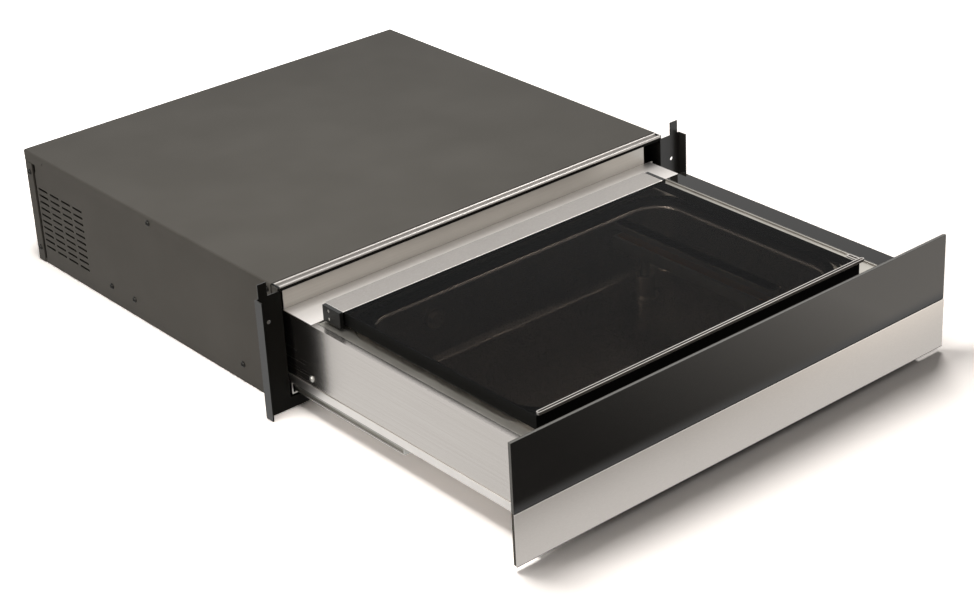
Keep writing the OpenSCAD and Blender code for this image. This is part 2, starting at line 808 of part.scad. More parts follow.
// Deep-drawn chamber: floor, tapered walls, seal seat and stepped flange from one sheet
module chamber_tub() {
    step = 1.6;
    edge_t = 1.5;
    rod_hole_r = 4.1;
    low = -tub_draft - tub_floor_r;
    inner = concat(arc(low, floor_z + tub_floor_r, tub_floor_r, -90, 0),
        arc(tub_lip_r, seat_z - tub_lip_r, tub_lip_r, 180, 90, 4),
        [[seat_w, seat_z], [seat_w + step, flange_z]]);
    outer = concat(arc(low, floor_z + tub_floor_r, tub_floor_r + tub_t, -90, 0),
        arc(tub_lip_r, seat_z - tub_lip_r, tub_lip_r - tub_t, 180, 90, 4),
        [[seat_w + tub_t / 2, seat_z - tub_t], [seat_w + step, flange_z - tub_t]]);
    outline = concat(inner, [for (i = [len(outer) - 1:-1:0]) outer[i]]);
    floor_r = tub_r + low;
    rim_o = seat_w + step;
    color(stainless) difference() {
        union() {
            swept_ring(tub_x0, tub_x1, tub_y0, tub_y1, tub_r) polygon(outline);
            translate([0, 0, floor_z - tub_t]) linear_extrude(tub_t)
                round_rect(tub_x0 - low, tub_x1 + low, tub_y0 - low, tub_y1 + low, floor_r);
            translate([0, 0, flange_z - tub_t]) linear_extrude(tub_t) difference() {
                translate([flange_x0, flange_y0]) square([flange_x1 - flange_x0, flange_y1 - flange_y0]);
                round_rect(tub_x0 - rim_o, tub_x1 + rim_o, tub_y0 - rim_o, tub_y1 + rim_o,
                    tub_r + rim_o);
            }
            for (x = [flange_x0, flange_x1 - edge_t])
                span(x, x + edge_t, flange_y0, flange_y1, flange_z - tub_t, deck_z);
        }
        for (x = port_x) along_y(x, tub_y1 - 3 * cut, port_z, port_r + screw_fit, 6 * cut);
        for (y = rod_y) translate([bar_x, y, floor_z - cut]) cylinder(r = rod_hole_r, h = 2 * cut);
    }
}

module control_panel() {
    color(deep_black) span(panel_x0, half_drawer, carrier_back_y + 0.3, deck_y0,
        deck_z - panel_glass_t, deck_z);
}

// Board with a row of touch sensors under the control strip
module control_board() {
    z = deck_z - panel_glass_t - 9;
    front_in = 24;
    back_in = 160;
    y0 = carrier_back_y + front_in;
    y1 = deck_y0 - back_in;
    sensors = 6;
    sensor_s = 6;
    sensor_x = panel_x0 + 8;
    sensor_pitch = (y1 - y0 - 2 * sensor_s) / sensors;
    color("#2f5a3a") {
        span(panel_x0 + 3, half_drawer - 4, y0, y1, z, z + board_t);
        for (i = [0:sensors - 1]) translate([sensor_x, y0 + 2 * sensor_s + i * sensor_pitch, z + board_t])
            cube([sensor_s, sensor_s, deck_z - panel_glass_t - soft_gap - z - board_t]);
    }
}

module latch_striker() {
    w = 28;
    foot_d = 16;
    color(zinc) {
        span(-w / 2, w / 2, striker_y - foot_d, striker_y, drawer_z - striker_t, drawer_z);
        span(-w / 2, w / 2, striker_y - striker_t, striker_y, striker_z, drawer_z);
    }
}

module hinge_brackets() {
    eye_r = 5;
    color(zinc) for (x = bracket_x) difference() {
        union() {
            span(x - bracket_w / 2, x + bracket_w / 2, axis_y - eye_r, axis_y + eye_r, flange_z, axis_z);
            along_x(x - bracket_w / 2, axis_y, axis_z, eye_r, bracket_w);
        }
        along_x(x - bracket_w, axis_y, axis_z, hinge_r + shaft_fit, 2 * bracket_w);
    }
}

module hinge_shaft() {
    end_in = 4;
    color(zinc) along_x(lid_x0 + end_in, axis_y, axis_z, hinge_r, lid_x1 - lid_x0 - 2 * end_in);
}

// Two air cylinders that lift the sealing bar
module bar_cylinders() {
    foot = 4;
    foot_t = 3;
    spigot_r = 4;
    spigot_l = 3;
    color(stainless) for (y = rod_y) translate([bar_x, y, floor_z]) difference() {
        union() {
            cylinder(r = cyl_r, h = cyl_top_z - floor_z);
            cylinder(r = cyl_r + foot, h = foot_t);
            translate([0, 0, -spigot_l]) cylinder(r = spigot_r, h = spigot_l + 1);
        }
        translate([0, 0, cyl_floor_gap]) cylinder(r = rod_r + shaft_run, h = cyl_top_z);
    }
}

// Two round ports in the chamber's back wall, each with a barb for its hose
module chamber_ports() {
    flange_t = 5;
    cap_t = 3;
    cap_r = 7;
    nut_r = 9;
    nut_t = 4;
    bore = 2.4;
    inlet_r = 1.2;
    inlet_circle = 4.6;
    color(stainless) for (x = port_x) difference() {
        union() {
            along_y(x, wall_y - flange_t, port_z, port_cap_r, flange_t);
            along_y(x, wall_y - flange_t - cap_t, port_z, cap_r, cap_t + 1);
            along_y(x, wall_y - 1, port_z, port_r, barb_y - wall_y + 1);
            along_y(x, tub_y1 + tub_t, port_z, nut_r, nut_t);
        }
        along_y(x, wall_y - cap_t, port_z, bore, barb_y - wall_y + cap_t + 1);
        for (a = [0:60:300])
            along_y(x + inlet_circle * cos(a), wall_y - flange_t - cut, port_z + inlet_circle * sin(a),
                inlet_r, flange_t + cut - 1);
    }
}

module elbow(r, bore, bend) {
    rotate_extrude(angle = 90) translate([bend, 0]) difference() {
        circle(r = r);
        circle(r = bore);
    }
}

// One hose from the left port along the bulkhead to the pump's inlet, one to the vent valve
module hoses() {
    x0 = port_x[0];
    y1 = hose_y - hose_bend;
    x2 = inlet_x - hose_bend;
    color("#3a3a38") {
        tube_y(port_x[1], barb_y, port_z, hose_r, hose_bore, valve_y - barb_y);
        tube_y(x0, barb_y, port_z, hose_r, hose_bore, y1 - barb_y);
        translate([x0 + hose_bend, y1, port_z]) rotate(90) elbow(hose_r, hose_bore, hose_bend);
        translate([x0 + hose_bend, hose_y, port_z]) rotate(-90)
            tube_y(0, 0, 0, hose_r, hose_bore, x2 - x0 - hose_bend);
        translate([x2, hose_y + hose_bend, port_z]) rotate(-90) elbow(hose_r, hose_bore, hose_bend);
    }
}

module vent_valve() {
    x = port_x[1];
    body = 26;
    body_d = 24;
    foot_w = 20;
    foot_in = 4;
    coil_r = 11;
    coil_l = 16;
    z0 = port_z - body / 2;
    color("#3c3f44") {
        span(x - body / 2, x + body / 2, valve_y, valve_y + body_d, z0, z0 + body);
        span(x - foot_w / 2, x + foot_w / 2, valve_y + foot_in, valve_y + body_d - foot_in, side_z, z0);
        along_y(x, valve_y + body_d, port_z, coil_r, coil_l);
    }
}

// Pump head: a finned block with two cylinder covers
module vacuum_pump() {
    fins = 7;
    fin_pitch = 9;
    fin_t = 3;
    fin_z = 6;
    inset = 4;
    head_h = 20;
    head_z = pump_top_z - head_h;
    head_in = 24;
    inlet_r = 8;
    color("#8d8f90") {
        span(pump_x0, pump_x1, pump_y0 + inset, pump_y1 - inset, cradle_z + cradle_t, head_z);
        for (i = [0:fins - 1]) {
            x = pump_x0 + head_in / 2 + i * fin_pitch;
            span(x, x + fin_t, pump_y0, pump_y1, cradle_z + cradle_t + fin_z, head_z + 2);
        }
        for (x = [pump_x0 + head_in, pump_x1 - head_in])
            translate([x, (pump_y0 + pump_y1) / 2, head_z]) {
                cylinder(r = 17, h = 14);
                cylinder(r = 13, h = head_h);
            }
        along_y(inlet_x, hose_y + hose_bend, port_z, inlet_r, pump_y0 + inset - hose_y - hose_bend);
    }
}

// Motor: a laminated core between two end bells with cooling slots
module pump_motor() {
    bell = 24;
    bell_step = 5;
    foot_in = 30;
    foot_w = 52;
    slot_w = 4;
    slot_h = 9;
    slot_d = 14;
    color("#5b5d60") difference() {
        union() {
            along_x(motor_x0 + bell, motor_y, motor_z, motor_r, motor_l - 2 * bell);
            along_x(motor_x0, motor_y, motor_z, motor_r - bell_step, motor_l);
            span(motor_x0 + foot_in, pump_x0 - foot_in, motor_y - foot_w / 2, motor_y + foot_w / 2,
                cradle_z + cradle_t, motor_z);
        }
        for (a = [0:30:330]) translate([motor_x0 - 1, motor_y, motor_z]) rotate([a, 0, 0])
            translate([0, -slot_w / 2, motor_r - 2 * slot_h]) cube([slot_d, slot_w, slot_h]);
    }
}

module pump_cradle() {
    left_in = 8;
    right_in = 4;
    edge = 2;
    color(zinc) span(motor_x0 + left_in, pump_x1 - right_in, pump_y0 - edge, pump_y1 + edge,
        cradle_z, cradle_z + cradle_t);
}

module pump_mounts() {
    mount_in = 18;
    row_in = 6;
    disc_r = 8;
    disc_t = 3;
    waist_r = 5.5;
    h = cradle_z - side_z;
    rows = [pump_y0 + row_in, pump_y1 - row_in];
    color("#232323") for (x = [motor_x0 + mount_in, pump_x1 - mount_in], y = rows)
        translate([x, y, side_z]) {
            cylinder(r = waist_r, h = h);
            for (z = [0, h - disc_t]) translate([0, 0, z]) cylinder(r = disc_r, h = disc_t);
        }
}

module exhaust_silencer() {
    pipe_r = 5;
    pipe_l = 6;
    can_r = 12;
    can_l = 34;
    z = cradle_z + 34;
    color("#8a7a4a") {
        along_x(pump_x1, silencer_y, z, pipe_r, pipe_l + 1);
        along_x(pump_x1 + pipe_l, silencer_y, z, can_r, can_l);
    }
}

module transformer() {
    x0 = -half_drawer + 55.5;
    w = 62;
    h = 52;
    core_d = 28;
    coil_d = 52;
    coil_in = 11;
    coil_z = 9;
    foot = 8;
    foot_t = 2;
    y0 = bay_y0 + 46;
    y1 = y0 + (core_d - coil_d) / 2;
    color("#6b6c6e") {
        span(x0, x0 + w, y0, y0 + core_d, side_z, side_z + h);
        span(x0 - foot, x0 + w + foot, y0, y0 + core_d, side_z, side_z + foot_t);
        span(x0 + coil_in, x0 + w - coil_in, y1, y1 + coil_d, side_z + coil_z, side_z + h - coil_z);
    }
}

// Board on four posts, with three relays and two capacitors
module power_board() {
    w = 68;
    edge = 8;
    post_r = 3;
    post_h = 8;
    post_in = 5;
    relay = [14, 20, 15.4];
    relay_pitch = 26;
    cap_r = 9;
    cap_h = 26;
    cap_pitch = 34;
    x1 = half_drawer - edge;
    x0 = x1 - w;
    y0 = bay_y0 + edge;
    y1 = bay_y1 - edge;
    z = side_z + post_h;
    color("#2f5a3a") {
        span(x0, x1, y0, y1, z, z + board_t);
        for (x = [x0 + post_in, x1 - post_in], y = [y0 + post_in, y1 - post_in])
            translate([x, y, side_z]) cylinder(r = post_r, h = post_h, $fn = 24);
        for (i = [0:2]) translate([x0 + edge, y0 + 2 * post_in + i * relay_pitch, z + board_t]) cube(relay);
        for (i = [0:1]) translate([x1 - 2 * edge, y0 + 22 + i * cap_pitch, z + board_t])
            cylinder(r = cap_r, h = cap_h);
    }
}

// Fan frame: a square ring with a hub on three arms, and a pin for the rotor
module fan_frame() {
    arm_t = 3;
    arm_w = 4;
    foot_w = 16;
    pin_in = 4;
    color(deep_black) translate([fan_x, fan_y, fan_z]) rotate([0, 90, 0]) {
        difference() {
            translate([-fan_s / 2, -fan_s / 2, 0]) cube([fan_s, fan_s, fan_t]);
            translate([0, 0, -1]) cylinder(r = fan_bore, h = fan_t + 2);
        }
        cylinder(r = fan_hub_r + 1, h = arm_t);
        for (a = [30, 150, 270]) rotate(a) translate([fan_hub_r, -arm_w / 2, 0])
            cube([fan_bore - fan_hub_r + 1, arm_w, arm_t]);
        cylinder(r = fan_pin_r, h = fan_t - pin_in);
        translate([fan_s / 2, -foot_w / 2, 0]) cube([fan_z - fan_s / 2 - side_z, foot_w, fan_t]);
    }
}

module fan_rotor() {
    blade_a = 38;
    blade_w = 19;
    blade_t = 1.6;
    z0 = 4;
    z1 = fan_t - 2;
    color("#2b2b2b") translate([fan_x, fan_y, fan_z]) rotate([0, 90, 0]) difference() {
        union() {
            translate([0, 0, z0]) cylinder(r = fan_hub_r, h = z1 - z0);
            for (i = [0:fan_blades - 1]) rotate(i * 360 / fan_blades)
                translate([fan_hub_r - 2, 0, (z0 + z1) / 2]) rotate([blade_a, 0, 0])
                    translate([0, -blade_w / 2, -blade_t / 2]) cube([fan_tip - fan_hub_r, blade_w, blade_t]);
        }
        translate([0, 0, z0 - 1]) cylinder(r = fan_pin_r + shaft_run, h = z1);
    }
}

// Sealing bar with its two lifting rods
module sealing_bar() {
    color("#b0aca6") {
        span(bar_x - bar_w / 2, bar_x + bar_w / 2, bar_y0, bar_y1, bar_z, bar_top_z - strip_t);
        for (y = rod_y) translate([bar_x, y, cyl_floor_gap + floor_z + 2])
            cylinder(r = rod_r, h = bar_z - cyl_floor_gap - floor_z - 1);
    }
}

module heating_strip() {
    side_in_bar = 3;
    end_in_bar = 4;
    color("#8c6a45") span(bar_x - bar_w / 2 + side_in_bar, bar_x + bar_w / 2 - side_in_bar,
        bar_y0 + end_in_bar, bar_y1 - end_in_bar, bar_top_z - strip_t, bar_top_z);
}

// Lid

module lid_glass() {
    color([0.12, 0.11, 0.1, 0.6])
        span(lid_x0, lid_x1, lid_y0, glass_y1, glass_z, lid_top_z);
}

module lid_seal() {
    color("#33312e") swept_ring(tub_x0, tub_x1, tub_y0, tub_y1, tub_r)
        translate([seal_in, seat_z + soft_gap]) square([seal_w, glass_z - seat_z - soft_gap]);
}

// Silicone bar under the glass that the sealing bar presses against
module pressure_bar() {
    foot_t = 3;
    step = 3;
    color("#8e8a84") {
        span(bar_x - press_w / 2, bar_x + press_w / 2, bar_y0, bar_y1, glass_z - foot_t, glass_z);
        span(bar_x - press_w / 2 + step, bar_x + press_w / 2 - step, bar_y0, bar_y1,
            glass_z - press_h, glass_z);
    }
}

// Aluminium rail behind the glass with the bore for the hinge shaft
module lid_rail() {
    y1 = lid_y1 - 1.6;
    eye_room = 7;
    slot = bracket_w + 2 * hinge_side_gap;
    color(deep_black) difference() {
        span(lid_x0, lid_x1, glass_y1, y1, glass_z, lid_top_z);
        along_x(lid_x0 - 1, axis_y, axis_z, hinge_r + shaft_run, lid_x1 - lid_x0 + 2);
        for (x = bracket_x)
            span(x - slot / 2, x + slot / 2, axis_y - eye_room, y1 + 1, glass_z - 1, axis_z + eye_room);
    }
}

module hinge_cover() {
    z1 = lid_top_z + cover_sheet_t;
    notch = bracket_w + 2 * hinge_side_gap;
    eye_room = 7;
    color(stainless) difference() {
        union() {
            span(lid_x0 - cover_over, lid_x1 + cover_over, lid_y1 - hinge_cover_d, lid_y1, lid_top_z, z1);
            span(lid_x0 - cover_over, lid_x1 + cover_over, lid_y1 - cover_sheet_t, lid_y1,
                glass_z + cover_over, z1);
        }
        for (x = bracket_x) span(x - notch / 2, x + notch / 2, lid_y1 - cover_sheet_t - 1, lid_y1 + 1,
            glass_z, axis_z + eye_room);
    }
}

module hinge_end_caps() {
    cap_t = 4.5;
    back_in = 2.5;
    lift = 2.4;
    hole_r = 1.8;
    hole_in = 12;
    hole_low = 2.6;
    hole_high = 3.4;
    color(deep_black) for (x = [lid_x0 - cover_over - cap_t, lid_x1 + cover_over]) difference() {
        span(x, x + cap_t, lid_y1 - hinge_cover_d, lid_y1 - back_in, flange_z + lift,
            lid_top_z + cover_sheet_t);
        for (z = [glass_z + hole_low, lid_top_z - hole_high])
            along_x(x - 1, lid_y1 - hole_in, z, hole_r, cap_t + 2);
    }
}

// Outline of a bar along X with round ends
module round_bar(x0, x1, y, r) {
    translate([x0 + r, y - r]) square([x1 - x0 - 2 * r, 2 * r]);
    for (x = [x0 + r, x1 - r]) translate([x, y]) circle(r = r);
}

// Grip along the glass's front edge: a flat slotted bar, with a clip round the glass's right corner
module grip_profile() {
    left_in = 2;
    right_out = 7;
    bar_r = 2.4;
    bar_t = 3;
    slot_r = 1.1;
    overhang = 1;
    clip_l = 19;
    clip_w = 6.4;
    clip_t = 1.2;
    clip_slot_r = 1.3;
    x0 = lid_x0 + left_in;
    x1 = lid_x1 + right_out;
    y = lid_y0 + bar_r - overhang;
    clip_x = x1 - clip_w / 2;
    color("#d6d2cc") translate([0, 0, lid_top_z]) {
        linear_extrude(bar_t) difference() {
            round_bar(x0, x1, y, bar_r);
            round_bar(x0 + bar_r - slot_r, x1 - bar_r + slot_r, y, slot_r);
        }
        linear_extrude(clip_t) translate([clip_x, y]) rotate(90) difference() {
            round_bar(-bar_r, clip_l, 0, clip_w / 2);
            round_bar(2 * bar_r, clip_l - clip_w / 2 + clip_slot_r, 0, clip_slot_r);
        }
    }
}

casing_floor();
casing_side(-1);  // casing_side_left
casing_side(1);  // casing_side_right
top_cover();
back_panel();
front_header();
front_sill();
cabinet_bracket(-1);  // bracket_left
cabinet_bracket(1);  // bracket_right
top_trim();
trim_end_caps();
outer_rail(-1);  // outer_rail_left
outer_rail(1);  // outer_rail_right
casing_screws();
latch_housing();
cord_gland();
mid_rail(-1);  // mid_rail_left
mid_rail(1);  // mid_rail_right
latch_plunger();
drawer_base();
drawer_side_left();
drawer_side_right();
drawer_back();
bulkhead();
front_carrier();
front_glass();
front_strip();
deck_plate();
bay_cover();
chamber_tub();
control_panel();
control_board();
inner_rail(-1);  // inner_rail_left
inner_rail(1);  // inner_rail_right
latch_striker();
hinge_brackets();
hinge_shaft();
bar_cylinders();
chamber_ports();
hoses();
vacuum_pump();
pump_motor();
pump_cradle();
pump_mounts();
exhaust_silencer();
vent_valve();
transformer();
power_board();
fan_frame();
drawer_screws();
fan_rotor();
sealing_bar();
heating_strip();
lid_glass();
lid_seal();
pressure_bar();
lid_rail();
hinge_cover();
hinge_end_caps();
grip_profile();
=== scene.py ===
import json
import math

import bmesh
import bpy
from mathutils import Matrix, Vector


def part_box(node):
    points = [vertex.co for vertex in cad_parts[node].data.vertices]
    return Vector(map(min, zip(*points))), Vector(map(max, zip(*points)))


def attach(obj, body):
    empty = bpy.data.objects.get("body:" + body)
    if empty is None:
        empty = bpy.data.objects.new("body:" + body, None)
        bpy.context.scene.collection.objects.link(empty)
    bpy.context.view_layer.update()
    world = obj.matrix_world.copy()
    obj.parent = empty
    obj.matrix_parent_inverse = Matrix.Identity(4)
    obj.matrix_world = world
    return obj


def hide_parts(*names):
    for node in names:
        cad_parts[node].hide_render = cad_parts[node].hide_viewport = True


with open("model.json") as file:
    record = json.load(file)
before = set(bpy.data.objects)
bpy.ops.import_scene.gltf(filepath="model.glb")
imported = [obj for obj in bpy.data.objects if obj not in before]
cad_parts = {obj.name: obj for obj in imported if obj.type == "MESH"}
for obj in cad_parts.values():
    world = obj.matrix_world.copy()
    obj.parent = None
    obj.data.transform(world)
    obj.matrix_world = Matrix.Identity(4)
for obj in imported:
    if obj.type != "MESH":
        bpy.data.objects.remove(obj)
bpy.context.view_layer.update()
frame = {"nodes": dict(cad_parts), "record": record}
MM = 0.001

BODY_OF = {node: body for body, nodes in frame["record"]["behaviour"]["bodies"].items() for node in nodes}


# Materials

# The part of its range that a noise mostly fills
SPAN = {"From Min": 0.3, "From Max": 0.7}
# Grains in a millimetre along X, Y and Z
ALONG_X, ALONG_Y, BLASTED = (0.006, 3.0, 3.0), (3.0, 0.006, 3.0), (0.4, 3.0, 3.0)


def linear(code):
    """An sRGB hex colour as the linear values that a shader takes."""
    parts = [int(code[i:i + 2], 16) / 255 for i in (1, 3, 5)]
    return [c / 12.92 if c <= 0.04045 else ((c + 0.055) / 1.055) ** 2.4 for c in parts] + [1.0]


def add(tree, kind, inputs=None, **settings):
    """Adds one node with its settings.

    An input is a value, or the output socket that feeds it. A colour Mix takes 0, 6 and 7.
    """
    node = tree.nodes.new("ShaderNode" + kind)
    for name, value in settings.items():
        setattr(node, name, value)
    for name, value in (inputs or {}).items():
        if isinstance(value, bpy.types.NodeSocket):
            tree.links.new(value, node.inputs[name])
        else:
            node.inputs[name].default_value = value
    return node


def new_finish(name, **sockets):
    """A material with its even values on the Principled sockets.

    Returns the material, its tree, its shader, and the object's own coordinates for its patterns.
    """
    material = bpy.data.materials.new(name)
    material.use_nodes = True
    tree = material.node_tree
    surface = tree.nodes["Principled BSDF"]
    for socket, value in sockets.items():
        surface.inputs[socket.replace("_", " ")].default_value = value
    return material, tree, surface, add(tree, "TexCoord").outputs["Object"]


def feed(tree, surface, colour, roughness=None, height=None, depth_mm=0.01, strength=0.5):
    """Links a finish's colour, roughness and relief to its shader."""
    tree.links.new(colour, surface.inputs["Base Color"])
    if roughness:
        tree.links.new(roughness, surface.inputs["Roughness"])
    if height:
        bump = add(tree, "Bump", {"Height": height, "Distance": depth_mm * MM, "Strength": strength})
        tree.links.new(bump.outputs["Normal"], surface.inputs["Normal"])


def powder_coat(name, dark, light, roughness, specular=0.03, peel_mm=1.5, cloud_mm=90):
    """Powder-coated sheet steel: satin, with an orange peel that breaks up the reflections."""
    material, tree, surface, place = new_finish(name, Specular_IOR_Level=specular)
    peel = add(tree, "TexNoise", {"Vector": place, "Scale": 1 / (peel_mm * MM), "Detail": 2.0})
    cloud = add(tree, "TexNoise", {"Vector": place, "Scale": 1 / (cloud_mm * MM), "Detail": 2.0})
    amount = add(tree, "MapRange", {"Value": cloud.outputs["Fac"], **SPAN})
    colour = add(tree, "Mix", {0: amount.outputs["Result"], 6: linear(dark), 7: linear(light)},
                 data_type="RGBA")
    rough = add(tree, "MapRange", {"Value": peel.outputs["Fac"], **SPAN,
                                   "To Min": roughness - 0.04, "To Max": roughness + 0.05})
    feed(tree, surface, colour.outputs[2], rough.outputs["Result"], peel.outputs["Fac"], depth_mm=0.03)
    return material


def brushed_metal(name, dark, light, grain, low, high, depth_mm=0.003, cloud_mm=100, patchy=0.02):
    """Brushed metal: hairlines of about 0.1 mm, drawn some three times as coarse so that they show."""
    material, tree, surface, place = new_finish(name, Metallic=1.0)
    along = add(tree, "Mapping", {"Vector": place, "Scale": [n / MM for n in grain]})
    lines = add(tree, "TexNoise", {"Vector": along.outputs["Vector"], "Scale": 1.0, "Detail": 4.0})
    cloud = add(tree, "TexNoise", {"Vector": place, "Scale": 1 / (cloud_mm * MM), "Detail": 2.0})
    amount = add(tree, "MapRange", {"Value": lines.outputs["Fac"], **SPAN})
    colour = add(tree, "Mix", {0: amount.outputs["Result"], 6: linear(dark), 7: linear(light)},
                 data_type="RGBA")
    rough = add(tree, "MapRange", {"Value": lines.outputs["Fac"], **SPAN, "To Min": low, "To Max": high})
    patch = add(tree, "MapRange", {"Value": cloud.outputs["Fac"], **SPAN,
                                   "To Min": -patchy, "To Max": patchy})
    both = add(tree, "Math", {0: rough.outputs["Result"], 1: patch.outputs["Result"]}, operation="ADD")
    feed(tree, surface, colour.outputs[2], both.outputs["Value"], lines.outputs["Fac"], depth_mm, 0.6)
    return material


def satin_metal(name, dark, light, low, high, grit_mm=0.8, depth_mm=0.01, cloud_mm=33):
    """Drawn, plated or cast metal: an even grit, soft highlights and a slight cloudiness."""
    material, tree, surface, place = new_finish(name, Metallic=1.0)
    grit = add(tree, "TexNoise", {"Vector": place, "Scale": 1 / (grit_mm * MM), "Detail": 3.0})
    cloud = add(tree, "TexNoise", {"Vector": place, "Scale": 1 / (cloud_mm * MM), "Detail": 3.0})
    amount = add(tree, "MapRange", {"Value": cloud.outputs["Fac"], **SPAN})
    colour = add(tree, "Mix", {0: amount.outputs["Result"], 6: linear(dark), 7: linear(light)},
                 data_type="RGBA")
    rough = add(tree, "MapRange", {"Value": grit.outputs["Fac"], **SPAN, "To Min": low, "To Max": high})
    feed(tree, surface, colour.outputs[2], rough.outputs["Result"], grit.outputs["Fac"], depth_mm, 0.6)
    return material


def moulded(name, dark, light, roughness, grain_mm=0.7, depth_mm=0.02, specular=0.4):
    """Moulded plastic or rubber: a spark-eroded mould's fine texture and an even colour."""
    material, tree, surface, place = new_finish(name, Specular_IOR_Level=specular)
    grain = add(tree, "TexNoise", {"Vector": place, "Scale": 1 / (grain_mm * MM), "Detail": 3.0})
    amount = add(tree, "MapRange", {"Value": grain.outputs["Fac"], **SPAN})
    colour = add(tree, "Mix", {0: amount.outputs["Result"], 6: linear(dark), 7: linear(light)},
                 data_type="RGBA")
    rough = add(tree, "MapRange", {"Value": grain.outputs["Fac"], **SPAN,
                                   "To Min": roughness - 0.05, "To Max": roughness + 0.08})
    feed(tree, surface, colour.outputs[2], rough.outputs["Result"], grain.outputs["Fac"], depth_mm)
    return material


def glass(name, dark, light, wave_mm, **sockets):
    """Toughened glass: mirror-smooth, a faint wave in its faces, and an even tint."""
    material, tree, surface, place = new_finish(name, **sockets)
    wave = add(tree, "TexNoise", {"Vector": place, "Scale": 1 / (wave_mm * MM), "Detail": 1.0})
    colour = add(tree, "Mix", {0: wave.outputs["Fac"], 6: linear(dark), 7: linear(light)}, data_type="RGBA")
    feed(tree, surface, colour.outputs[2], None, wave.outputs["Fac"], depth_mm=0.02, strength=0.3)
    return material


def printed_glass(name, dark, light, specular):
    """Black back-printed glass: a mirror-smooth face over an opaque print."""
    return glass(name, dark, light, 50, Roughness=0.03, IOR=1.5, Specular_IOR_Level=specular)


def smoked_glass(name, dark, light):
    """Grey-brown glass, 15 mm thick: the chamber shows darkly through it.

    Its index is under that of real glass, because the studio's white walls would veil the chamber.
    """
    return glass(name, dark, light, 66, Roughness=0.0, IOR=1.08, Transmission_Weight=1.0)


def circuit_board(name, repeat_mm=6.25):
    """Green solder resist over copper tracks about 0.4 mm wide, on glass-fibre board."""
    material, tree, surface, place = new_finish(name, Roughness=0.35)
    tracks = add(tree, "TexBrick", {"Vector": place, "Scale": 1 / (repeat_mm * MM), "Mortar Size": 0.03,
                                    "Color1": linear("#1f5c38"), "Color2": linear("#2b7347"),
                                    "Mortar": linear("#174a2c")})
    feed(tree, surface, tracks.outputs["Color"], None, tracks.outputs["Fac"], depth_mm=0.035)
    return material


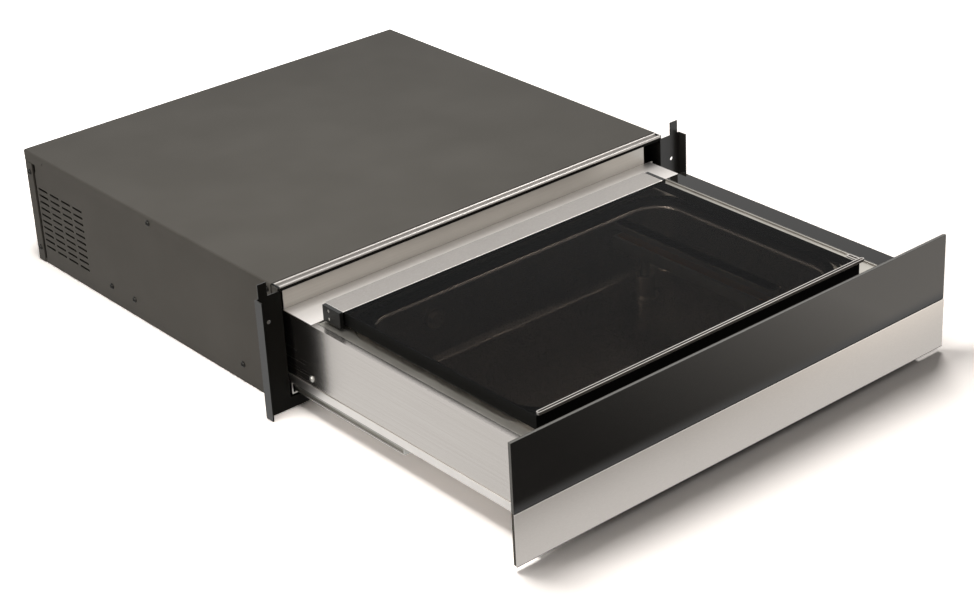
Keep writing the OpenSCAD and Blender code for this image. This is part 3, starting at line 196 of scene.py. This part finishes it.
FINISHES = {
    # Coats on sheet steel: nearly matt on the casing, with a soft sheen on the brackets and motors
    "casing_paint": powder_coat("charcoal_powder_coat", "#4b4843", "#504d48", 0.42),
    # The black coat also serves as painted shade on the left bracket's forward faces
    "black_paint": powder_coat("black_powder_coat", "#181715", "#1d1c19", 0.4),
    "bracket_paint": powder_coat("black_satin_enamel", "#1c1b19", "#23211e", 0.32, specular=0.5),
    "motor_paint": powder_coat("grey_enamel", "#55565a", "#5f6064", 0.35, specular=0.4),
    # Plated steel: small, soft glints
    "screw_black": satin_metal("black_zinc", "#252422", "#32312e", 0.2, 0.3),
    "zinc_steel": satin_metal("zinc_plate", "#a8a59f", "#b6b3ad", 0.3, 0.45),
    # Stainless sheet: the grain draws its highlights out, and rolled edges show as light lines in a lighter
    # stainless, a painted highlight
    "strip_steel": brushed_metal("fine_brushed_stainless", "#c0bab4", "#c9c3bd", BLASTED, 0.36, 0.44, 0.002),
    "stainless": brushed_metal("brushed_stainless_across", "#aeaaa4", "#b9b5af", ALONG_X, 0.32, 0.42),
    "pale_stainless": brushed_metal("pale_blasted_stainless", "#dcd7d2", "#e6e1dc", BLASTED, 0.44, 0.54),
    "cover_stainless": brushed_metal("blasted_stainless", "#95908b", "#a8a39e", BLASTED, 0.34, 0.44),
    "side_steel": brushed_metal("brushed_stainless_lengthwise", "#bdb7b1", "#c8c3bd", ALONG_Y, 0.17, 0.26),
    # A lighter stainless: painted highlight on the strip's top edge, the hinge cover's edges and the
    # drawer's base
    "highlight_steel": satin_metal("stainless_painted_highlight", "#dcd7d1", "#e6e1db", 0.3, 0.4),
    # Drawn stainless: satin walls, a duller pressed rim, and a polished mouth that draws a bright line, its
    # near-white colour partly a painted highlight
    "tub_steel": satin_metal("deep_drawn_stainless", "#8d8883", "#96918c", 0.26, 0.3, depth_mm=0.002),
    "rim_steel": satin_metal("pressed_stainless_rim", "#9b978f", "#a9a59d", 0.34, 0.44),
    # Its near-white colour is partly painted highlight
    "mouth_highlight": satin_metal("polished_stainless_highlight", "#f4f0ec", "#fbf8f5", 0.08, 0.11, depth_mm=0.001),
    "drawn_steel": satin_metal("drawn_stainless", "#b9b4ae", "#c6c1bb", 0.16, 0.24, depth_mm=0.002),
    # Aluminium and bronze: the anodised trim is fine-lined, the castings are dull and grainy
    "trim_aluminium": brushed_metal("anodised_aluminium", "#a09b96", "#b0aba6", ALONG_X, 0.3, 0.4, 0.002),
    # The groove's darker aluminium is painted shade
    "trim_groove_shade": satin_metal("shaded_aluminium", "#7d7974", "#8a8681", 0.35, 0.45),
    "cast_aluminium": satin_metal("cast_aluminium", "#93928f", "#a3a29f", 0.45, 0.62, 1.2, 0.05),
    "sintered_bronze": satin_metal("sintered_bronze", "#94794a", "#a58a52", 0.5, 0.7, 0.4, 0.08),
    # Glass: the faces mirror the room, and the ground edges stay dull
    "front_glass": printed_glass("black_printed_glass", "#131211", "#161514", 0.5),
    "control_glass": printed_glass("black_control_glass", "#1b1916", "#1f1d1a", 0.2),
    "lid_glass": smoked_glass("smoked_glass", "#7d7873", "#817c77"),
    "ground_edge": moulded("ground_glass_edge", "#504e49", "#5c5954", 0.35, 0.35, 0.01),
    "dark_edge": moulded("dark_ground_glass_edge", "#0c0c0b", "#121211", 0.3, 0.35, 0.01, 0.05),
    # Plastic, rubber and silicone: even, with broad and weak highlights
    # A near-black for the strip's lower edge, a painted shade
    "edge_shade": moulded("painted_edge_shade", "#0c0c0b", "#121211", 0.3, 0.35, 0.01, 0.05),
    "black_plastic": moulded("black_polyamide", "#151514", "#1b1b19", 0.42, specular=0.3),
    "light_plastic": moulded("natural_acetal", "#d9d7d0", "#e2e0da", 0.4),
    "rubber": moulded("black_rubber", "#191918", "#21211f", 0.6),
    "silicone": moulded("dark_silicone", "#2b2926", "#33312d", 0.45, 1.2, 0.01),
    "pale_silicone": moulded("grey_silicone", "#8a8680", "#928e88", 0.45, 1.2, 0.01),
    "heating_tape": moulded("glass_fibre_tape", "#7a5433", "#8f6641", 0.4, 0.5, 0.02),
    "circuit_board": circuit_board("solder_resist"),
}


# Pieces

# Vertices nearer than this are one, and faces that turn less than this are one flat face
WELD, FLAT_ANGLE = 0.002 * MM, math.radians(0.5)
# Edges that turn more than these are drawn sharp, and are rounded
SHARP_ANGLE, ROUNDED_ANGLE = math.radians(32), math.radians(35)
# A face looks along an axis where its normal has more than this along it
FACING = 0.5


def smooth(mesh):
    """Smooth shading between a mesh's sharp edges."""
    shape = bmesh.new()
    shape.from_mesh(mesh)
    for face in shape.faces:
        face.smooth = True
    for edge in shape.edges:
        if len(edge.link_faces) == 2:
            edge.smooth = edge.calc_face_angle(0) < SHARP_ANGLE
    shape.to_mesh(mesh)
    shape.free()


def node_shape(node):
    """The CAD node's own form as an editable shape, its flat faces made whole again."""
    shape = bmesh.new()
    shape.from_mesh(frame["nodes"][node].data)
    bmesh.ops.remove_doubles(shape, verts=shape.verts, dist=WELD)
    bmesh.ops.dissolve_limit(shape, angle_limit=FLAT_ANGLE, verts=shape.verts, edges=shape.edges)
    return shape


def edged(node, finishes, width_mm, choose=None, extra=None, worn=-1, cuts=()):
    """A node with the rolled, worn or ground edges that the plain solid lacks.

    cuts are levels at which the faces are parted. choose gives a face's finish by its number, worn is
    the number of the rounded edges' own finish, and extra adds the small things that the solid leaves out.
    """
    shape = node_shape(node)
    for z in cuts:
        bmesh.ops.bisect_plane(shape, geom=shape.verts[:] + shape.edges[:] + shape.faces[:],
                               plane_co=(0, 0, z), plane_no=(0, 0, 1))
    for face in shape.faces:
        face.material_index = choose(face) if choose else 0
    mesh = bpy.data.meshes.new(node + "_edged")
    shape.to_mesh(mesh)
    shape.free()
    smooth(mesh)
    for finish in finishes:
        mesh.materials.append(FINISHES[finish])
    made = bpy.data.objects.new(node + "_edged", mesh)
    bpy.context.collection.objects.link(made)
    rounding = made.modifiers.new("edges", "BEVEL")
    rounding.width = width_mm * MM
    rounding.segments = 2
    rounding.limit_method = "ANGLE"
    rounding.angle_limit = ROUNDED_ANGLE
    rounding.harden_normals = True
    rounding.material = worn
    if extra:
        extra(made)
    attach(made, BODY_OF[node])
    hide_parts(node)


# Each node of one finish, with the width of its edges in millimetres
EDGED = {
    "top_cover": ("casing_paint", 0.25), "back_panel": ("casing_paint", 0.2),
    "casing_side_left": ("casing_paint", 0.15), "casing_side_right": ("casing_paint", 0.15),
    "casing_floor": ("casing_paint", 0.2), "front_header": ("black_paint", 0.3),
    "front_sill": ("black_paint", 0.3), "bracket_right": ("bracket_paint", 0.35),
    "trim_end_caps": ("black_plastic", 0.2), "latch_housing": ("black_plastic", 0.6),
    "latch_plunger": ("light_plastic", 0.8), "cord_gland": ("black_plastic", 0.6),
    "outer_rail_left": ("zinc_steel", 0.25), "outer_rail_right": ("zinc_steel", 0.25),
    "mid_rail_left": ("zinc_steel", 0.25), "mid_rail_right": ("zinc_steel", 0.25),
    "inner_rail_left": ("zinc_steel", 0.25), "inner_rail_right": ("zinc_steel", 0.25),
    # The drawer's base takes the lighter stainless, a painted highlight along its lip
    "front_carrier": ("casing_paint", 0.2), "drawer_base": ("highlight_steel", 0.3),
    "drawer_side_left": ("side_steel", 0.2), "drawer_side_right": ("side_steel", 0.2),
    "drawer_back": ("zinc_steel", 0.2), "bulkhead": ("zinc_steel", 0.2),
    "deck_plate": ("pale_stainless", 0.25), "bay_cover": ("stainless", 0.25),
    "sealing_bar": ("cast_aluminium", 0.8), "heating_strip": ("heating_tape", 0.2),
    "pressure_bar": ("pale_silicone", 0.8), "lid_rail": ("black_paint", 0.4),
    "grip_profile": ("trim_aluminium", 0.4),
}
for node, (finish, width) in EDGED.items():
    edged(node, [finish], width)

# The lid's narrow faces are ground, not polished, and look black from outside
edged("lid_glass", ["lid_glass", "dark_edge"], 0.7, lambda face: int(abs(face.normal.z) < FACING), worn=1)
edged("control_panel", ["control_glass", "ground_edge"], 0.5, worn=1)
# The front's print stops at its edges, which are ground
edged("front_glass", ["front_glass", "ground_edge"], 0.35, lambda face: int(face.normal.y > -FACING))
# The hinge cover's rounded edges take a lighter stainless, a painted highlight along its sheared and folded
# edges
edged("hinge_cover", ["cover_stainless", "highlight_steel"], 0.45, worn=1)
# The left bracket's forward faces take the matt black coat, a painted shade where the drawer shades them;
# its folded flange keeps the satin enamel
edged("bracket_left", ["bracket_paint", "black_paint"], 0.35, lambda face: int(face.normal.y < -FACING))
# The trim's groove takes a darker aluminium than its two ribs, a painted shade in the recess
GROOVE_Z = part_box("top_trim")[0][2] + 0.7 * MM
edged("top_trim", ["trim_aluminium", "trim_groove_shade"], 0.1,
      lambda face: int(face.calc_center_median().z < GROOVE_Z and face.normal.z > FACING))

# The chamber is drawn satin, its rim is pressed flat, and its mouth is polished where the bag slides over
# it, with a near-white colour that is partly a painted highlight
DRAWN, PRESSED, POLISHED_HIGHLIGHT = range(3)
TUB_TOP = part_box("chamber_tub")[1][2]
SEAT_Z, LIP_Z = TUB_TOP - 5 * MM, TUB_TOP - 9 * MM
TUB_SLACK = 0.1 * MM
# What a face of the mouth's rounding has of Z in its normal, from nearly upright to nearly level
LIP_FROM, LIP_TO = 0.05, 0.97


def tub_finish(face):
    z = face.calc_center_median().z
    if LIP_Z < z < SEAT_Z + TUB_SLACK and LIP_FROM < face.normal.z < LIP_TO:
        return POLISHED_HIGHLIGHT
    return PRESSED if z > SEAT_Z - TUB_SLACK and face.normal.z > FACING else DRAWN


edged("chamber_tub", ["tub_steel", "rim_steel", "mouth_highlight"], 0.15, tub_finish)

# The strip's top edge takes a lighter stainless, a painted highlight, and its lower edge a near-black, a
# painted shade
BRUSHED, BRIGHT, SHADE_EDGE = range(3)
strip_low, strip_high = (corner[2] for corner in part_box("front_strip"))
STRIP_EDGE = 0.8 * MM
STRIP_CUTS = (strip_low + STRIP_EDGE, strip_high - STRIP_EDGE)


def strip_finish(face):
    z = face.calc_center_median().z
    return BRIGHT if z > STRIP_CUTS[1] else SHADE_EDGE if z < STRIP_CUTS[0] else BRUSHED


edged("front_strip", ["strip_steel", "highlight_steel", "edge_shade"], 0.3, strip_finish, cuts=STRIP_CUTS)

# The hinge's end caps are riveted through the solid's two holes
CAP_LOW, CAP_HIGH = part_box("hinge_end_caps")
RIVET_RADIUS, RIVET_HEIGHT, RIVET_SIDES = 1.9 * MM, 0.8 * MM, 20
RIVET_Y = CAP_HIGH[1] - 9.5 * MM
RIVET_Z = (CAP_LOW[2] + 4.2 * MM, CAP_HIGH[2] - 4.4 * MM)
# How wide and how high each ring of a rivet's dome is, as shares of its radius and height
RIVET_RINGS = ((1.0, 0.0), (0.92, 0.55), (0.6, 0.9))


def rivet(shape, centre, outward):
    """A low dome of rings along X, with its flat side towards the piece."""
    last = None
    for wide, high in RIVET_RINGS:
        ring = []
        for i in range(RIVET_SIDES):
            angle = i * math.tau / RIVET_SIDES
            ring.append(shape.verts.new(centre + Vector((outward * RIVET_HEIGHT * high,
                                                         RIVET_RADIUS * wide * math.cos(angle),
                                                         RIVET_RADIUS * wide * math.sin(angle)))))
        if last:
            for i in range(RIVET_SIDES):
                shape.faces.new((last[i], last[i - 1], ring[i - 1], ring[i]))
        else:
            shape.faces.new(ring)
        last = ring
    shape.faces.new(last)


def add_rivets(made):
    """Two plated rivet heads, of the second finish, on the outer face of each end cap."""
    shape = bmesh.new()
    shape.from_mesh(made.data)
    before = set(shape.faces)
    for x, outward in ((CAP_LOW[0] + RIVET_HEIGHT, -1), (CAP_HIGH[0] - RIVET_HEIGHT, 1)):
        for z in RIVET_Z:
            rivet(shape, Vector((x, RIVET_Y, z)), outward)
    new = [face for face in shape.faces if face not in before]
    for face in new:
        face.material_index = 1
    bmesh.ops.recalc_face_normals(shape, faces=new)
    shape.to_mesh(made.data)
    shape.free()


edged("hinge_end_caps", ["black_plastic", "zinc_steel"], 0.5, extra=add_rivets)

# The nodes that keep the CAD's own form
REST = {
    "casing_screws": "screw_black", "drawer_screws": "zinc_steel", "latch_striker": "zinc_steel",
    "chamber_ports": "drawn_steel", "bar_cylinders": "drawn_steel", "lid_seal": "silicone",
    "hinge_brackets": "zinc_steel", "hinge_shaft": "zinc_steel",
    "vacuum_pump": "cast_aluminium", "pump_motor": "motor_paint", "pump_cradle": "zinc_steel",
    "pump_mounts": "rubber", "hoses": "rubber", "exhaust_silencer": "sintered_bronze",
    "vent_valve": "black_plastic", "transformer": "motor_paint", "fan_frame": "black_plastic",
    "fan_rotor": "black_plastic", "control_board": "circuit_board", "power_board": "circuit_board",
}
for node, finish in REST.items():
    for slot in frame["nodes"][node].material_slots:
        slot.material = FINISHES[finish]


# Camera: fitted to the photograph's corners with the CAD's own sizes

AZIMUTH, ELEVATION, ROLL = -40.441, 26.451, -2.332
DISTANCE, AIM = 2559.3, (89.29, 0.0, 32.06)
FOCAL, CENTRE = 2283.16, (547.0, 270.0)
WIDE, HIGH = 974, 600
SENSOR = 36

turn, rise, roll = (math.radians(a) for a in (AZIMUTH, ELEVATION, ROLL))
back = Vector((math.sin(turn) * math.cos(rise), -math.cos(turn) * math.cos(rise), math.sin(rise)))
across = Vector((math.cos(turn), math.sin(turn), 0))
upward = back.cross(across)
side = across * math.cos(roll) + upward * math.sin(roll)
top = upward * math.cos(roll) - across * math.sin(roll)
turned = Matrix((side, top, back)).transposed().to_4x4()
lens = bpy.data.cameras.new("camera")
lens.sensor_width = SENSOR
lens.lens = FOCAL * SENSOR / WIDE
lens.shift_x = (WIDE / 2 - CENTRE[0]) / WIDE
lens.shift_y = (CENTRE[1] - HIGH / 2) / WIDE
lens.clip_start, lens.clip_end = 0.05, 50
camera = bpy.data.objects.new("camera", lens)
bpy.context.collection.objects.link(camera)
camera.matrix_world = Matrix.Translation((Vector(AIM) + back * DISTANCE) * MM) @ turned
bpy.context.scene.camera = camera


# Stage and light

FLOOR_HALF, FLOOR_DROP = 6.0, 0.4 * MM
PAPER = "#f6efe9"
# The camera sees the paper at full white where nothing shades it, and surely white from a stride away
PAPER_GAIN = 1.8
NEAR, FAR, FAR_GLOW = 0.52, 0.95, 0.9
# Polished faces see pale paper, and before the front a grey card that lightens to the right
GLOSS_LEVEL = 1.0
CARD_Y, CARD_BLUR = -0.467, 0.022
CARD_TINT = "#fff8ef"
CARD_X0, CARD_X1 = -0.15, 0.32
CARD_LOW, CARD_RISE, CARD_CURVE = 0.17, 1.5, 1.8
# A ray under this Diffuse Depth hasn't left a matt surface, so the white that it meets lights no surface
NO_MATT_YET = 0.5
# Even studio walls: white to the camera and to mirrors, and dimmer as a light, so that the lamps shape
# the object
WALL_LIGHT, WALL_WHITE = 0.1, 1.0


def white_paper():
    """Matt paper: white to the camera, to mirrors and through glass, with the object's shadow kept."""
    material, tree, surface, place = new_finish("white_paper")
    tree.nodes.remove(surface)
    ray = add(tree, "LightPath").outputs
    direct = add(tree, "Math", {0: ray["Is Camera Ray"], 1: ray["Is Transmission Ray"]},
                 operation="MAXIMUM").outputs["Value"]
    bright = [PAPER_GAIN * c for c in linear(PAPER)[:3]] + [1]
    colour = add(tree, "Mix", {0: direct, 6: linear(PAPER), 7: bright}, data_type="RGBA")
    matt = add(tree, "BsdfDiffuse", {"Color": colour.outputs[2]})
    away = add(tree, "VectorMath", {0: place}, operation="LENGTH")
    glow = add(tree, "MapRange", {"Value": away.outputs["Value"], "From Min": NEAR, "From Max": FAR,
                                  "To Min": 0.0, "To Max": FAR_GLOW}, interpolation_type="SMOOTHSTEP")
    shown = add(tree, "Math", {0: glow.outputs["Result"], 1: direct}, operation="MULTIPLY")
    whiter = add(tree, "Emission", {"Strength": shown.outputs["Value"]})
    paper = add(tree, "AddShader", {0: matt.outputs["BSDF"], 1: whiter.outputs["Emission"]})

    spot = add(tree, "SeparateXYZ", {"Vector": place}).outputs
    before = add(tree, "MapRange", {"Value": spot["Y"], "From Min": CARD_Y, "From Max": CARD_Y - CARD_BLUR},
                 interpolation_type="SMOOTHSTEP").outputs["Result"]
    along = add(tree, "MapRange", {"Value": spot["X"], "From Min": CARD_X0, "From Max": CARD_X1})
    curve = add(tree, "Math", {0: along.outputs["Result"], 1: CARD_CURVE}, operation="POWER")
    card = add(tree, "Math", {0: curve.outputs["Value"], 1: CARD_RISE, 2: CARD_LOW},
               operation="MULTIPLY_ADD")
    level = add(tree, "Mix", {0: before, 2: GLOSS_LEVEL, 3: card.outputs["Value"]})
    tint = add(tree, "Mix", {0: before, 6: (1, 1, 1, 1), 7: linear(CARD_TINT)}, data_type="RGBA")
    mirrored = add(tree, "Emission", {"Color": tint.outputs[2], "Strength": level.outputs[0]})

    clear = add(tree, "Math", {0: ray["Diffuse Depth"], 1: NO_MATT_YET}, operation="LESS_THAN")
    mirror = add(tree, "Math", {0: ray["Is Glossy Ray"], 1: clear.outputs["Value"]}, operation="MULTIPLY")
    both = add(tree, "MixShader", {0: mirror.outputs["Value"], 1: paper.outputs["Shader"],
                                   2: mirrored.outputs["Emission"]})
    tree.links.new(both.outputs["Shader"], tree.nodes["Material Output"].inputs["Surface"])
    return material


sheet = bpy.data.meshes.new("floor")
sheet.from_pydata([(x * FLOOR_HALF, y * FLOOR_HALF, -FLOOR_DROP)
                   for x, y in ((-1, -1), (1, -1), (1, 1), (-1, 1))], [], [(0, 1, 2, 3)])
floor = bpy.data.objects.new("floor", sheet)
bpy.context.collection.objects.link(floor)
sheet.materials.append(white_paper())

world = bpy.data.worlds.new("studio")
bpy.context.scene.world = world
world.use_nodes = True
sky = world.node_tree
ray = add(sky, "LightPath").outputs
look = add(sky, "Math", {0: ray["Is Camera Ray"], 1: ray["Is Glossy Ray"]}, operation="MAXIMUM")
look = add(sky, "Math", {0: look.outputs["Value"], 1: ray["Is Transmission Ray"]}, operation="MAXIMUM")
clear = add(sky, "Math", {0: ray["Diffuse Depth"], 1: NO_MATT_YET}, operation="LESS_THAN")
look = add(sky, "Math", {0: look.outputs["Value"], 1: clear.outputs["Value"]}, operation="MULTIPLY")
level = add(sky, "MapRange", {"Value": look.outputs["Value"], "To Min": WALL_LIGHT, "To Max": WALL_WHITE})
sky.nodes["Background"].inputs["Color"].default_value = (1, 1, 1, 1)
sky.links.new(level.outputs["Result"], sky.nodes["Background"].inputs["Strength"])


def softbox(name, at, aim, size, power):
    """A rectangular lamp of this size in metres and power in watts, turned to what it lights."""
    lamp = bpy.data.lights.new(name, "AREA")
    lamp.shape = "RECTANGLE"
    lamp.size, lamp.size_y = size
    lamp.energy = power
    made = bpy.data.objects.new(name, lamp)
    bpy.context.collection.objects.link(made)
    made.location = at
    made.rotation_euler = (Vector(aim) - Vector(at)).to_track_quat("-Z", "Y").to_euler()


softbox("key_overhead", (-0.28, 0.05, 1.15), (-0.22, 0.05, 0), (0.6, 0.5), 11.5)
softbox("rim_right", (0.87, 0.2, 1.3), (0.2, 0, 0.1), (0.5, 0.4), 7)
softbox("fill_left", (-1.9, 0.15, 0.8), (0, 0.1, 0.07), (1.3, 0.9), 15)

bpy.context.scene.view_settings.view_transform = "Standard"
